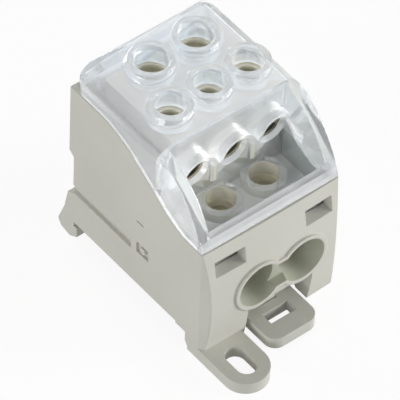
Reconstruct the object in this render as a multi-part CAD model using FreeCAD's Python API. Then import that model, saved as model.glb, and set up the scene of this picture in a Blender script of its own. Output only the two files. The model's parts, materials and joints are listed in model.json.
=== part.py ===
# Power distribution block for a 35 mm mounting rail, with a clear lift-off cover.
# Millimetres. X runs across the block, the conductor face looks along -Y, +Z is up,
# and the origin is on the mounting plane in the middle of the outline.
import FreeCAD
import Part

import math
import os

V = FreeCAD.Vector

# Housing
WIDTH = 40.0
WALL = 1.6
BACK_WALL = 2.0
FRONT_EDGE_Y = -24.2
FRONT_INNER_Y = -22.8
BACK_Y = 24.2
BACK_STEP_Y = 22.5
BACK_STEP_Z = 28.0
BACK_STEP_RISE = 1.2
FRONT_TOP_Z = 35.6
COVER_TOP_Z = 57.0
BACK_TOP_DROP = 6.6
SEAM_FLAT_END_Y = 15.0
SEAM_BEND = ((0.3, 0.716), (-9.7, 0.27), (-17.5, 0.0135))
FRONT_BULGE = 2.3
FRONT_BULGE_Z = 17.0
FACE_CROWN_RADIUS = 500.0
FACE_STEP = 0.1
CORNER_STRIP = 1.4
FACE_FOOT_BULGE = 0.7
CORNER_STRIP_REACH = 10.0
FLOOR = 2.2
PARTITION = 1.2
RIB_THICKNESS = 1.6
RIB_YS = (-14.0, 0.0, 14.0)
RIB_DROP = 4.0

# How far cuts and working solids run past the outline
OVERLAP = 0.2
OVERCUT = 5.0
REACH = 90.0

# Rail foot
RAIL_WIDTH = 35.0
RAIL_SEAT_Z = 5.8
HOOK_FACE_Y = 20.9
HOOK_GROOVE = 1.2
HOOK_LIP_Z = 4.5
HOOK_TIP = (1.4, 1.6)
FOOT_TOP_Z = 15.6
FOOT_BACK_Y = 28.0
FOOT_SHOULDER_Y = 24.5
FOOT_SHOULDER_DROP = 1.0
FOOT_FLARE = 1.2
FOOT_FLARE_Z = 8.6
FOOT_HEEL_Z = 2.4
FOOT_HEEL_ROUND = (1.2, 0.6)
FRONT_LEG_BACK_Y = -19.6
SEAT_END_Y = -16.0
SEAT_STEP = 0.6
LEG_TOE = (1.6, 2.4)
LEG_OPENING_LEFT = -7.3
LEG_OPENING_RIGHT = 11.9
LEG_OPENING_DEPTH = 3.4
LEG_OPENING_TOP = 10.8

# Screw-down lugs
LUG_LENGTH_Y = 40.4
LUG_WIDTH = 0.29 * WIDTH
LUG_THICKNESS = 3.5
LUG_SLOT_WIDTH = 5.2
LUG_SLOT_LENGTH = 9.0
LUG_SLOT_TIP = 2.9

# Conductor block
BLOCK_ROOM_LEFT = 4.8
BLOCK_ROOM_RIGHT = 0.8
BLOCK_FRONT_Y = -19.4
BLOCK_STEP_Y = -6.0
BLOCK_BACK_Y = 20.0
BLOCK_BOTTOM_Z = 8.3
BLOCK_STEP_Z = 29.4
BLOCK_TOP_DROP = 5.0
BLOCK_CHAMFER = 0.8

# Conductor rows, all set about the middle line of the block
FRONT_PITCH_SHARE = 0.32
FRONT_BORE_Z = 17.6
FRONT_BORE = 8.4
FRONT_SCREW_Y = -11.7
MIDDLE_PITCH_SHARE = 0.2825
MIDDLE_BORE_RISE = 0.58
MIDDLE_BORE = 6.8
MIDDLE_SCREW_Y = 1.5
REAR_PITCH_SHARE = 0.325
REAR_BORE_RISE = 0.425
REAR_BORE = 9.8
REAR_SCREW_Y = 14.4
BORE_OVERRUN = 1.1
BORE_DEPTH_STEP = 0.3

# Clamping screws
SCREW_FIT = 0.1
SCREW_BACK_OFF = 0.3
LARGE_SCREW = 8.0
LARGE_SCREW_LENGTH = 5.0
LARGE_SOCKET = 4.0
SMALL_SCREW = 6.0
SMALL_SCREW_LENGTH = 4.0
SMALL_SOCKET = 3.0
SOCKET_DEPTH_SHARE = 0.6
SCREW_TIP = 1.0

# Conductor funnels in the housing
FUNNEL_RIM_Y = -27.25
FUNNEL_MOUTH = 12.2
FUNNEL_WALL = 1.1
FUNNEL_WAIST = 7.4
FUNNEL_SEPTUM = 2.6
REAR_FUNNEL_MOUTH = 11.2
BLOCK_GAP = 0.4
FUNNEL_THROAT = 0.4

# Clear cover
COVER_WALL = 1.4
SEAM_GAP = 0.3
SIDE_CLEARANCE = 0.2
PLATEAU_DROP = 0.6
REAR_BASE_RISE = 0.8
PLATEAU_FRONT_Y = 4.0
COVER_BACK_SHOULDER_DROP = 2.0
COVER_BACK_HEADING = 125.0
COVER_SHOULDER = (20.7, 0.2)
COVER_FALL = ((-9.6, 0.1355), (-19.4, 0.514))
COVER_EDGE_ROUND = 1.4
COVER_PEAK_X = 2.0
COVER_CROWN_RADIUS = 70.0
COVER_CORNER_ROUND = 5.0
LIP_INSET = 4.0
LIP_DROP = 2.6
LIP_TOP_GAP = 1.0
RECESS_FLOOR_RISE = 1.6
RECESS_SKIN = 1.2
SKIN_TOP_DROP = 9.4
STEP_WALL_Y = -7.6
FRONT_STRIP_RISE = 2.9
REAR_COLLAR = 11.4
REAR_COLLAR_BORE = 8.8
REAR_COLLAR_BASE = 13.4
REAR_COLLAR_RISE = 1.6
MIDDLE_COLLAR = 10.9
MIDDLE_COLLAR_BORE = 7.7
MIDDLE_COLLAR_RISE = 0.9
FRONT_COLLAR = 10.8
FRONT_COLLAR_BORE = 7.4
FRONT_COLLAR_RISE = 2.6
ARCH_MOUTH = 9.0
ARCH_WALL = 1.0
ARCH_VISOR = 2.2
ARCH_VISOR_DROP = 1.6
ARCH_POST = 2.0
ARCH_POST_TOP_SHARE = 0.915
ARCH_POST_FOOT_SHARE = 0.48

# Snap catches of the cover
CATCH_LEFT_INSETS = (1.4, 10.1)
CATCH_RIGHT_INSETS = (9.0, 1.1)
WINDOW_BOTTOM_Z = 27.4
WINDOW_TOP_Z = 32.0
TONGUE = 1.2
TONGUE_SIDE_GAP = 0.5
TONGUE_GROOVE_GAP = 0.3
TONGUE_DROP = 0.4
CATCH_DEPTH = 0.7
CATCH_FOOT = 0.2
CATCH_FACE = 1.2
CATCH_TOP_GAP = 0.4
CATCH_CLEARANCE = 0.3

# Rail latch and its spring
LATCH_X = 1.6
LATCH_WIDTH = 14.2
LATCH_BOTTOM_Z = 1.0
LATCH_THICKNESS = 3.4
LATCH_FRONT_Y = -34.0
LATCH_CORNER = 3.2
LATCH_GRIP = 1.5
LATCH_NOSE = 1.2
LATCH_NOSE_INSET = 1.0
LATCH_SLOT = (7.5, 3.3)
LATCH_SLOT_FRONT = 4.8
LATCH_TONGUE = 1.2
LATCH_TONGUE_HEIGHT = 1.2
LATCH_FIT = 0.3
GUIDE_LENGTH = 7.0
GUIDE_WALL = 1.5
SPRING_STRIP = 0.35
SPRING_HEIGHT = 2.4
SPRING_OUTER = 4.2
SPRING_LENGTH = 8.0
SPRING_FOLDS = 6
SPRING_WINDOW = 5.0
SPRING_STOP = 1.4
SPRING_SEAT = 0.1
SPRING_END_WALL = 0.9

# Small marks of the moulding on the left side
SIDE_GROOVE_Z = 16.0
SIDE_GROOVE_HEIGHT = 2.6
SIDE_GROOVE_DEPTH = 1.0
SIDE_GROOVE_END_Y = 1.0
STUD_Y = -3.3
STUD_Z = 18.3
STUD = 2.0
STUD_RECESS = (4.4, 3.4)
STUD_RECESS_DEPTH = 0.8
SLIT = (2.4, 0.4, 0.5)
SLIT_RISE = 8.4

# Places and levels that follow from the sizes above
HALF = WIDTH / 2.0
INNER_HALF = HALF - WALL
BACK_TOP_Z = COVER_TOP_Z - BACK_TOP_DROP
COVER_BACK_SHOULDER_Z = COVER_TOP_Z - COVER_BACK_SHOULDER_DROP
SKIN_TOP_Z = COVER_TOP_Z - SKIN_TOP_DROP
FRONT_STRIP_Z = FRONT_TOP_Z + FRONT_STRIP_RISE
RECESS_FLOOR_Z = BLOCK_STEP_Z + RECESS_FLOOR_RISE
BLOCK_TOP_Z = COVER_TOP_Z - BLOCK_TOP_DROP
MIDDLE_BORE_Z = BLOCK_STEP_Z + MIDDLE_BORE_RISE * (BLOCK_TOP_Z - BLOCK_STEP_Z)
REAR_BORE_Z = BLOCK_STEP_Z + REAR_BORE_RISE * (BLOCK_TOP_Z - BLOCK_STEP_Z)
ARCH_RISE = MIDDLE_BORE_Z - RECESS_FLOOR_Z
ARCH_POST_TOP_Z = RECESS_FLOOR_Z + ARCH_POST_TOP_SHARE * ARCH_RISE
ARCH_POST_FOOT_Z = RECESS_FLOOR_Z + ARCH_POST_FOOT_SHARE * ARCH_RISE
BLOCK_LEFT = -INNER_HALF + BLOCK_ROOM_LEFT
BLOCK_RIGHT = INNER_HALF - BLOCK_ROOM_RIGHT
CENTRE_X = (BLOCK_LEFT + BLOCK_RIGHT) / 2.0
FRONT_PITCH = FRONT_PITCH_SHARE * WIDTH
MIDDLE_PITCH = MIDDLE_PITCH_SHARE * WIDTH
REAR_PITCH = REAR_PITCH_SHARE * WIDTH
CATCH_LEFT = (-INNER_HALF + CATCH_LEFT_INSETS[0], -INNER_HALF + CATCH_LEFT_INSETS[1])
CATCH_RIGHT = (INNER_HALF - CATCH_RIGHT_INSETS[0], INNER_HALF - CATCH_RIGHT_INSETS[1])
FLOOR_TOP_Z = RAIL_SEAT_Z + FLOOR
RAIL_FRONT_Y = HOOK_FACE_Y + HOOK_GROOVE - RAIL_WIDTH
SPRING_BACK_Y = RAIL_FRONT_Y - SPRING_END_WALL
SPRING_FRONT_Y = SPRING_BACK_Y - SPRING_LENGTH
FACE_SAG = HALF * HALF / (2.0 * FACE_CROWN_RADIUS) + FACE_STEP
RECESS_HALF = INNER_HALF - SIDE_CLEARANCE - RECESS_SKIN
RECESS_FRONT_Y = FRONT_INNER_Y + SEAM_GAP + RECESS_SKIN
FRONT_XS = [CENTRE_X + side * FRONT_PITCH / 2.0 for side in (-1, 1)]
MIDDLE_XS = [CENTRE_X + side * MIDDLE_PITCH for side in (-1, 0, 1)]
REAR_XS = [CENTRE_X + side * REAR_PITCH / 2.0 for side in (-1, 1)]
WINDOWS = (CATCH_LEFT, CATCH_RIGHT)


def box(x0, x1, y0, y1, z0, z1):
    return Part.makeBox(x1 - x0, y1 - y0, z1 - z0, V(x0, y0, z0))


def rod(diameter, length, start, direction):
    return Part.makeCylinder(diameter / 2.0, length, V(*start), V(*direction))


def cone(start_diameter, end_diameter, length, start, direction):
    return Part.makeCone(start_diameter / 2.0, end_diameter / 2.0, length, V(*start), V(*direction))


def yz(point, x=0.0):
    return V(x, point[0], point[1])


def line_to(start, end, x=0.0):
    return Part.makeLine(yz(start, x), yz(end, x))


def arc_to(start, heading, end, x=0.0):
    """Arc that leaves start along heading (degrees) and ends at end. Returns it and its last heading."""
    chord = math.hypot(end[0] - start[0], end[1] - start[1])
    bearing = math.degrees(math.atan2(end[1] - start[1], end[0] - start[0]))
    half_turn = (bearing - heading + 180.0) % 360.0 - 180.0
    sagitta = chord / 2.0 * math.tan(math.radians(half_turn) / 2.0)
    sideways = math.radians(bearing - 90.0)
    middle = (
        (start[0] + end[0]) / 2.0 + sagitta * math.cos(sideways),
        (start[1] + end[1]) / 2.0 + sagitta * math.sin(sideways),
    )
    arc = Part.Arc(yz(start, x), yz(middle, x), yz(end, x)).toShape()
    return arc, bearing + half_turn


def arc_chain(start, heading, points):
    edges = []
    for point in points:
        edge, heading = arc_to(start, heading, point)
        edges.append(edge)
        start = point
    return edges


def slab(edges, half_width):
    """Solid of a closed outline in the YZ plane, as wide as the two half widths."""
    face = Part.Face(Part.Wire(edges))
    face.translate(V(-half_width, 0, 0))
    return face.extrude(V(2 * half_width, 0, 0))


def rounded_plate(x0, x1, y0, y1, z0, z1, radius):
    plate = box(x0, x1, y0, y1, z0, z1)
    upright = [e for e in plate.Edges if abs(e.tangentAt(e.FirstParameter).z) > 0.9]
    return plate.makeFillet(radius, upright)


def seam_edges(lift=0.0):
    """The parting line between housing and cover, from the back to the front."""
    start = (BACK_Y, BACK_TOP_Z + lift)
    flat_end = (SEAM_FLAT_END_Y, BACK_TOP_Z + lift)
    climb = BACK_TOP_Z - FRONT_TOP_Z
    bend = [(y, FRONT_TOP_Z + share * climb + lift) for y, share in SEAM_BEND]
    front = (FRONT_EDGE_Y, FRONT_TOP_Z + lift)
    edges = [line_to(start, flat_end)] + arc_chain(flat_end, 180.0, bend)
    return edges + [line_to(bend[-1], front)]


def front_form():
    """All that lies behind the front face, which is bulged in both directions."""
    top = (FRONT_EDGE_Y - FACE_SAG, FRONT_TOP_Z)
    peak = (FRONT_EDGE_Y - FRONT_BULGE - FACE_SAG, FRONT_BULGE_Z)
    foot = (FRONT_EDGE_Y - FACE_SAG - FACE_FOOT_BULGE, 0.0)
    back_y = foot[0] + REACH
    face_arc = Part.Arc(yz(top), yz(peak), yz(foot)).toShape()
    high = (top[0], COVER_TOP_Z + REACH)
    outline = [
        face_arc,
        line_to(foot, (foot[0], -OVERCUT)),
        line_to((foot[0], -OVERCUT), (back_y, -OVERCUT)),
        line_to((back_y, -OVERCUT), (back_y, high[1])),
        line_to((back_y, high[1]), high),
        line_to(high, top),
    ]
    return crowned(outline)


def crowned(outline):
    """Sweep an outline round a far upright axis behind it, which crowns its front face."""
    face = Part.Face(Part.Wire(outline))
    axis = V(0, FRONT_EDGE_Y - FACE_SAG + FACE_CROWN_RADIUS, 0)
    half_angle = math.degrees(math.asin(HALF * 2.0 / FACE_CROWN_RADIUS))
    face.rotate(axis, V(0, 0, 1), -half_angle)
    return face.revolve(axis, V(0, 0, 1), 2.0 * half_angle)


def corner_strips():
    """Wedges off the two upright front corners, so that the bulge dies out at the side walls."""
    wedges = []
    reach = CORNER_STRIP_REACH
    inset = CORNER_STRIP / FRONT_BULGE * reach
    for side in (-1, 1):
        edge = V(side * HALF, FRONT_EDGE_Y, -OVERCUT)
        inner = V(side * (HALF - inset), FRONT_EDGE_Y - reach, -OVERCUT)
        outer = V(side * (HALF + reach), FRONT_EDGE_Y - reach, -OVERCUT)
        side_point = V(side * (HALF + reach), FRONT_EDGE_Y, -OVERCUT)
        face = Part.Face(Part.makePolygon([edge, inner, outer, side_point, edge]))
        wedges.append(face.extrude(V(0, 0, REACH)))
    return wedges


def housing_outline():
    foot_back = [
        (BACK_Y, BACK_STEP_Z + BACK_STEP_RISE),
        (BACK_STEP_Y, BACK_STEP_Z),
        (BACK_STEP_Y, FOOT_TOP_Z),
        (FOOT_SHOULDER_Y, FOOT_TOP_Z - FOOT_SHOULDER_DROP),
        (FOOT_SHOULDER_Y + FOOT_FLARE, FOOT_FLARE_Z),
        (FOOT_BACK_Y, FOOT_HEEL_Z),
        (FOOT_BACK_Y - FOOT_HEEL_ROUND[0], FOOT_HEEL_ROUND[1]),
        (HOOK_FACE_Y + HOOK_GROOVE + HOOK_TIP[0], 0.0),
        (HOOK_FACE_Y, HOOK_TIP[1]),
        (HOOK_FACE_Y, HOOK_LIP_Z),
        (HOOK_FACE_Y + HOOK_GROOVE, HOOK_LIP_Z),
        (HOOK_FACE_Y + HOOK_GROOVE, RAIL_SEAT_Z),
        (SEAT_END_Y, RAIL_SEAT_Z),
        (SEAT_END_Y, RAIL_SEAT_Z - SEAT_STEP),
        (FRONT_LEG_BACK_Y, RAIL_SEAT_Z - SEAT_STEP),
        (FRONT_LEG_BACK_Y, LEG_TOE[1]),
        (FRONT_LEG_BACK_Y - LEG_TOE[0], 0.0),
        (FRONT_EDGE_Y - REACH, 0.0),
        (FRONT_EDGE_Y - REACH, FRONT_TOP_Z),
        (FRONT_EDGE_Y, FRONT_TOP_Z),
    ]
    top = (BACK_Y, BACK_TOP_Z)
    run = [top] + foot_back
    edges = [line_to(a, b) for a, b in zip(run[:-1], run[1:])]
    return edges + seam_edges()


def housing_cavity():
    """Room for the conductor block and for the hanging parts of the cover."""
    back_high = BACK_Y - BACK_WALL
    back_low = BACK_STEP_Y - BACK_WALL
    above = COVER_TOP_Z
    pocket = box(-INNER_HALF, INNER_HALF, FRONT_INNER_Y, back_high, BACK_STEP_Z + BACK_STEP_RISE, above)
    front = box(-INNER_HALF, INNER_HALF, FRONT_INNER_Y, back_low, LEG_OPENING_TOP + WALL, above)
    well = box(-INNER_HALF, INNER_HALF, BLOCK_FRONT_Y - BLOCK_GAP, back_low, FLOOR_TOP_Z, above)
    return [pocket, front, well]


def block_seat_ribs():
    """Ribs on the left wall that keep the conductor block in its place."""
    ribs = []
    left_face = BLOCK_LEFT - BLOCK_GAP
    half = RIB_THICKNESS / 2.0
    top = BLOCK_STEP_Z - RIB_DROP
    for y in RIB_YS:
        ribs.append(box(-INNER_HALF, left_face, y - half, y + half, FLOOR_TOP_Z, top))
    return ribs


def front_funnels():
    """Outer tubes of the two front conductor entries, and the cut that opens them."""
    depth = -FUNNEL_RIM_Y + BLOCK_FRONT_Y - BLOCK_GAP
    tubes = []
    cuts = []
    for x in FRONT_XS:
        start = (x, FUNNEL_RIM_Y, FRONT_BORE_Z)
        outer = FUNNEL_MOUTH + 2 * FUNNEL_WALL
        tubes.append(cone(outer, FRONT_BORE + 2 * FUNNEL_WALL, depth, start, (0, 1, 0)))
        cuts.append(cone(FUNNEL_MOUTH, FRONT_BORE + FUNNEL_THROAT, depth, start, (0, 1, 0)))
        cuts.append(rod(FUNNEL_MOUTH, OVERCUT, start, (0, -1, 0)))
    waist_half = FRONT_PITCH / 2.0
    low = FRONT_BORE_Z - FUNNEL_WAIST / 2.0
    high = FRONT_BORE_Z + FUNNEL_WAIST / 2.0
    middle = (CENTRE_X - waist_half, CENTRE_X + waist_half)
    tubes.append(
        box(*middle, FUNNEL_RIM_Y, FRONT_INNER_Y, low - FUNNEL_WALL, high + FUNNEL_WALL)
    )
    cuts.append(box(*middle, FUNNEL_RIM_Y - OVERCUT, FUNNEL_RIM_Y + FUNNEL_SEPTUM, low, high))
    return tubes, cuts


def rear_funnels():
    tubes = []
    cuts = []
    depth = BACK_Y - BLOCK_BACK_Y - BLOCK_GAP
    for x in REAR_XS:
        start = (x, BACK_Y, REAR_BORE_Z)
        outer = REAR_FUNNEL_MOUTH + 2 * FUNNEL_WALL
        tubes.append(cone(outer, REAR_BORE + 2 * FUNNEL_WALL, depth, start, (0, -1, 0)))
        cuts.append(cone(REAR_FUNNEL_MOUTH, REAR_BORE + FUNNEL_THROAT, depth, start, (0, -1, 0)))
        cuts.append(rod(REAR_FUNNEL_MOUTH, OVERCUT, start, (0, 1, 0)))
    return tubes, cuts


def lug(turned):
    """One screw-down lug with a full round end and a slot along it."""
    right = -HALF + LUG_WIDTH
    radius = LUG_WIDTH / 2.0
    middle_x = -HALF + radius
    root_y = FRONT_LEG_BACK_Y
    end_y = -LUG_LENGTH_Y + radius
    plate = box(-HALF, right, end_y, root_y - 1.0, 0.0, LUG_THICKNESS)
    plate = plate.fuse(rod(LUG_WIDTH, LUG_THICKNESS, (middle_x, end_y, 0), (0, 0, 1)))
    slot_front = -LUG_LENGTH_Y + LUG_SLOT_TIP + LUG_SLOT_WIDTH / 2.0
    slot_back = slot_front + LUG_SLOT_LENGTH - LUG_SLOT_WIDTH
    half = LUG_SLOT_WIDTH / 2.0
    high = LUG_THICKNESS + OVERCUT
    slot = box(middle_x - half, middle_x + half, slot_front, slot_back, -OVERCUT, high)
    for y in (slot_front, slot_back):
        slot = slot.fuse(rod(LUG_SLOT_WIDTH, high + OVERCUT, (middle_x, y, -OVERCUT), (0, 0, 1)))
    if turned:
        for shape in (plate, slot):
            shape.rotate(V(0, 0, 0), V(0, 0, 1), 180)
    return plate, slot


def latch_guides():
    """Two grooved rails under the floor that carry the rail latch."""
    front = RAIL_FRONT_Y - LATCH_FIT - GUIDE_LENGTH
    back = RAIL_FRONT_Y - LATCH_FIT
    low = LATCH_BOTTOM_Z
    rails = []
    grooves = []
    inner = LATCH_WIDTH / 2.0 + LATCH_FIT
    outer = inner + LATCH_TONGUE + GUIDE_WALL
    middle_z = LATCH_BOTTOM_Z + LATCH_THICKNESS / 2.0
    reach = LATCH_TONGUE_HEIGHT / 2.0 + LATCH_FIT
    for side in (-1, 1):
        a, b = sorted((LATCH_X + side * inner, LATCH_X + side * outer))
        rails.append(box(a, b, front, back, low, RAIL_SEAT_Z))
        groove_end = outer - GUIDE_WALL + LATCH_FIT
        c, d = sorted((LATCH_X + side * (inner - OVERLAP), LATCH_X + side * groove_end))
        grooves.append(box(c, d, front - OVERLAP, back + OVERLAP, middle_z - reach, middle_z + reach))
    return rails, grooves


def spring_stop():
    """Peg under the floor that the front end of the latch spring leans on."""
    back = SPRING_FRONT_Y
    half = SPRING_WINDOW / 2.0 - LATCH_FIT
    low = LATCH_BOTTOM_Z
    return box(LATCH_X - half, LATCH_X + half, back - SPRING_STOP, back, low, LEG_OPENING_TOP + OVERLAP)


def side_marks():
    """Wedge groove, stud recess and small slit on the left side wall."""
    tip = SIDE_GROOVE_Z
    face = Part.Face(
        Part.makePolygon(
            [
                V(-HALF - OVERCUT, 0, tip),
                V(-HALF + SIDE_GROOVE_DEPTH, 0, tip),
                V(-HALF, 0, tip + SIDE_GROOVE_HEIGHT),
                V(-HALF - OVERCUT, 0, tip + SIDE_GROOVE_HEIGHT),
                V(-HALF - OVERCUT, 0, tip),
            ]
        )
    )
    face.translate(V(0, SIDE_GROOVE_END_Y, 0))
    groove = face.extrude(V(0, BACK_Y + OVERCUT, 0))
    recess = box(
        -HALF - OVERCUT,
        -HALF + STUD_RECESS_DEPTH,
        STUD_Y - STUD_RECESS[0] / 2.0,
        STUD_Y + STUD_RECESS[0] / 2.0,
        STUD_Z - STUD_RECESS[1] / 2.0,
        STUD_Z + STUD_RECESS[1] / 2.0,
    )
    stud = rod(STUD, STUD_RECESS_DEPTH + OVERLAP, (-HALF, STUD_Y, STUD_Z), (1, 0, 0))
    slit_z = STUD_Z + SLIT_RISE
    slit = box(-HALF - OVERCUT, -HALF + SLIT[2], STUD_Y, STUD_Y + SLIT[0], slit_z, slit_z + SLIT[1])
    return groove, recess.cut(stud), slit


def windows_and_grooves():
    """Windows for the snap catches, and the clearance grooves above them inside the wall."""
    cuts = []
    for left, right in WINDOWS:
        back = FRONT_INNER_Y + OVERLAP
        cuts.append(box(left, right, -REACH, back, WINDOW_BOTTOM_Z, WINDOW_TOP_Z))
        groove_y = FRONT_INNER_Y + SEAM_GAP - CATCH_DEPTH - CATCH_CLEARANCE
        inset = TONGUE_SIDE_GAP - TONGUE_GROOVE_GAP
        cuts.append(box(left + inset, right - inset, groove_y, back, WINDOW_BOTTOM_Z, COVER_TOP_Z))
    return cuts


def make_housing():
    body = slab(housing_outline(), HALF)
    body = body.common(front_form())
    body = body.cut(corner_strips())
    body = body.cut(housing_cavity())
    opening_back = FRONT_INNER_Y + LEG_OPENING_DEPTH - WALL
    between_legs = (LEG_OPENING_LEFT, LEG_OPENING_RIGHT, -REACH)
    body = body.cut(box(*between_legs, opening_back, -OVERCUT, LEG_OPENING_TOP))
    body = body.cut(box(*between_legs, SEAT_END_Y, -OVERCUT, RAIL_SEAT_Z))
    back = BLOCK_FRONT_Y - BLOCK_GAP
    top = RECESS_FLOOR_Z - RECESS_SKIN - SEAM_GAP
    body = body.fuse(box(-INNER_HALF, INNER_HALF, back - PARTITION, back, FLOOR_TOP_Z, top))
    body = body.fuse(block_seat_ribs())
    front_tubes, front_cuts = front_funnels()
    rear_tubes, rear_cuts = rear_funnels()
    rails, grooves = latch_guides()
    for piece in front_tubes + rear_tubes + rails + [spring_stop()]:
        body = body.fuse(piece)
    body = body.cut(front_cuts + rear_cuts + grooves)
    for turned in (False, True):
        plate, slot = lug(turned)
        body = body.fuse(plate).cut(slot)
    body = body.cut(list(side_marks()))
    body = body.cut(windows_and_grooves())
    return body.removeSplitter()


def cover_top_edges():
    """Outer side profile of the cover from the top of its back edge to its front foot."""
    back = (BACK_Y, COVER_BACK_SHOULDER_Z)
    shoulder = (COVER_SHOULDER[0], COVER_TOP_Z - COVER_SHOULDER[1])
    plateau = (PLATEAU_FRONT_Y, COVER_TOP_Z)
    drop = COVER_TOP_Z - FRONT_TOP_Z
    points = [(y, COVER_TOP_Z - share * drop) for y, share in COVER_FALL]
    points.append((FRONT_EDGE_Y, FRONT_TOP_Z + SEAM_GAP))
    first, heading = arc_to(back, COVER_BACK_HEADING, shoulder)
    second, heading = arc_to(shoulder, heading, plateau)
    return [first, second] + arc_chain(plateau, 180.0, points)


def cover_profile():
    lift = SEAM_GAP
    edges = [line_to((BACK_Y, BACK_TOP_Z + lift), (BACK_Y, COVER_BACK_SHOULDER_Z))]
    return edges + cover_top_edges() + [e.copy() for e in reversed(seam_edges(lift))]


def under_cover_profile():
    """Everything below the outer skin of the cover, down to the mounting plane."""
    front = (FRONT_EDGE_Y, FRONT_TOP_Z + SEAM_GAP)
    edges = [line_to((BACK_Y, 0.0), (BACK_Y, COVER_BACK_SHOULDER_Z))] + cover_top_edges()
    return edges + [line_to(front, (FRONT_EDGE_Y, 0.0)), line_to((FRONT_EDGE_Y, 0.0), (BACK_Y, 0.0))]


def crown_form(inset):
    """Across the block the top of the cover is a flat arch between rounded long edges."""
    half = HALF - inset
    top = COVER_TOP_Z - inset
    left = V(-half, -REACH, top - (COVER_PEAK_X + half) ** 2 / (2.0 * COVER_CROWN_RADIUS))
    right = V(half, -REACH, top - (half - COVER_PEAK_X) ** 2 / (2.0 * COVER_CROWN_RADIUS))
    arch = Part.Arc(left, V(COVER_PEAK_X, -REACH, top), right).toShape()
    low = [V(half, -REACH, 0), V(-half, -REACH, 0)]
    sides = [
        Part.makeLine(right, low[0]),
        Part.makeLine(low[0], low[1]),
        Part.makeLine(low[1], left),
    ]
    face = Part.Face(Part.Wire([arch] + sides))
    prism = face.extrude(V(0, 2 * REACH, 0))
    corners = [
        e for e in prism.Edges
        if abs(e.tangentAt(e.FirstParameter).y) > 0.9 and e.Vertexes[0].Z > RECESS_FLOOR_Z
    ]
    return prism.makeFillet(COVER_EDGE_ROUND, corners)


def recess_air():
    """The open recess in front of the step wall, above the front pair of screws."""
    high = COVER_TOP_Z + OVERCUT
    deep = box(-RECESS_HALF, RECESS_HALF, RECESS_FRONT_Y, STEP_WALL_Y, RECESS_FLOOR_Z, high)
    wide = box(-RECESS_HALF, RECESS_HALF, -REACH, STEP_WALL_Y, FRONT_STRIP_Z, high)
    return deep.fuse(wide)


def recess_skin():
    """Walls and floor of the recess, which hang inside the housing."""
    half = RECESS_HALF + RECESS_SKIN
    front = FRONT_INNER_Y + SEAM_GAP
    back = STEP_WALL_Y + RECESS_SKIN
    return box(-half, half, front, back, RECESS_FLOOR_Z - RECESS_SKIN, SKIN_TOP_Z)


def cover_hollow():
    """Hollow under the plateau, open towards the housing."""
    wire = Part.Wire(Part.__sortEdges__(under_cover_profile()))
    inner = Part.Face(wire.makeOffset2D(-COVER_WALL))
    inner.translate(V(-HALF + COVER_WALL, 0, 0))
    hollow = inner.extrude(V(WIDTH - 2 * COVER_WALL, 0, 0)).common(crown_form(COVER_WALL))
    keep = box(-HALF, HALF, STEP_WALL_Y + RECESS_SKIN, BACK_Y, 0, COVER_TOP_Z)
    return hollow.common(keep)


def collar(x, y, outer, bore, top, bottom):
    tube = rod(outer, top - bottom, (x, y, bottom), (0, 0, 1))
    hole = rod(bore, top - bottom + 2 * OVERLAP, (x, y, bottom - OVERLAP), (0, 0, 1))
    return tube, hole


def cover_collars():
    """Seven guide collars over the screws: raised rings with tubes that hang to the block."""
    tubes = []
    holes = []
    plateau_z = COVER_TOP_Z - PLATEAU_DROP
    tube_foot = BLOCK_TOP_Z + SEAM_GAP
    for x in REAR_XS:
        top = plateau_z + REAR_COLLAR_RISE
        tube, hole = collar(x, REAR_SCREW_Y, REAR_COLLAR, REAR_COLLAR_BORE, top, tube_foot)
        base_start = (x, REAR_SCREW_Y, plateau_z - REAR_BASE_RISE / 2.0)
        base = cone(REAR_COLLAR_BASE, REAR_COLLAR, REAR_BASE_RISE, base_start, (0, 0, 1))
        tubes += [tube, base]
        holes.append(hole)
    for x in MIDDLE_XS:
        top = plateau_z + MIDDLE_COLLAR_RISE
        tube, hole = collar(x, MIDDLE_SCREW_Y, MIDDLE_COLLAR, MIDDLE_COLLAR_BORE, top, tube_foot)
        tubes.append(tube)
        holes.append(hole)
    front_foot = RECESS_FLOOR_Z - RECESS_SKIN
    for x in FRONT_XS:
        top = RECESS_FLOOR_Z + FRONT_COLLAR_RISE
        tube, hole = collar(x, FRONT_SCREW_Y, FRONT_COLLAR, FRONT_COLLAR_BORE, top, front_foot)
        tubes.append(tube)
        holes.append(hole)
    return tubes, holes


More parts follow.
